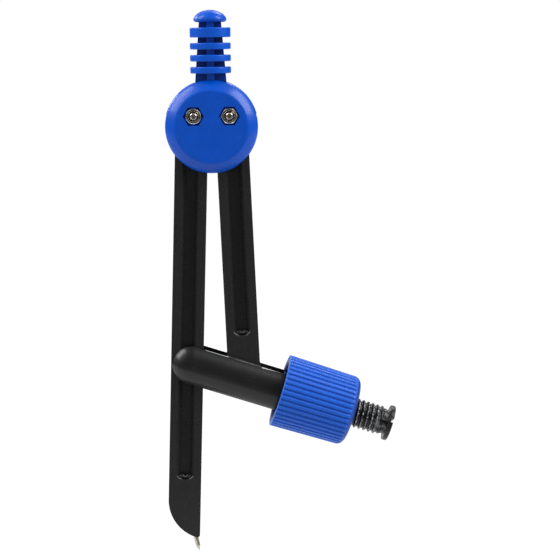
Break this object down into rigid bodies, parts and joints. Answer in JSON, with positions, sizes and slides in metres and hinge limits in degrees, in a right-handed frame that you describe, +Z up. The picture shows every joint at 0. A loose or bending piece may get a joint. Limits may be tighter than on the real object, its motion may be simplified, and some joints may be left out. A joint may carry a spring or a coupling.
{
  "type": "drawing compass",
  "caption": "Drawing compass: ribbed handle, round geared head, needle leg and a leg whose slotted holder grips a pencil with a screw knob.",
  "frame": {"origin": "centre of the head's flat rear face", "axes": "+X to the pencil leg's side, +Y out of the rear face, +Z up through the handle; the picture looks along +Y"},
  "size_m": [0.0768, 0.0245, 0.1813],
  "materials": {
    "head_blue": "moulded, satin gloss",
    "knob_blue": "moulded, fine ribs",
    "leg_black": "moulded, satin",
    "stud_black": "moulded, worn crests",
    "plated_steel": "nickel plated",
    "needle_steel": "ground"
  },
  "bodies": {
    "head": {"front_cover": "head_blue", "rear_cover": "head_blue", "handle": "head_blue", "pivot_bolt_left": "plated_steel", "pivot_bolt_right": "plated_steel", "pivot_nut_left": "plated_steel", "pivot_nut_right": "plated_steel"},
    "needle_leg": {"needle_leg": "leg_black", "needle_point": "needle_steel"},
    "pencil_leg": {"pencil_leg": "leg_black", "pencil_holder": "leg_black", "threaded_stud": "stud_black"},
    "pressure_ring": {"pressure_ring": "knob_blue"},
    "clamp_knob": {"clamp_knob": "knob_blue"}
  },
  "joints": [
    {"name": "pencil_leg_swing", "type": "hinge", "parent": "head", "child": "pencil_leg", "pos_m": [0.00588, -0.0071, 0.00355], "axis": [0, 1, 0], "range_deg": [-47.88, 2.12]},
    {"name": "needle_leg_swing", "type": "hinge", "parent": "head", "child": "needle_leg", "pos_m": [-0.00588, -0.0071, 0.00355], "axis": [0, 1, 0], "range_deg": [-2.12, 47.88]},
    {"name": "knob_travel", "type": "slide", "parent": "pencil_leg", "child": "pressure_ring", "axis": [0.9509, 0, -0.3095], "range_m": [-0.0066, 0.01155]},
    {"name": "knob_turn", "type": "hinge", "parent": "pressure_ring", "child": "clamp_knob", "pos_m": [0.0334, -0.0071, -0.09246], "axis": [0.9509, 0, -0.3095], "range_deg": [-1440, 2520]}
  ],
  "couplings": [
    {"joint": "needle_leg_swing", "follows": "pencil_leg_swing", "ratio": -1},
    {"joint": "knob_travel", "follows": "knob_turn", "m_per_rad": 0.0002626}
  ]
}
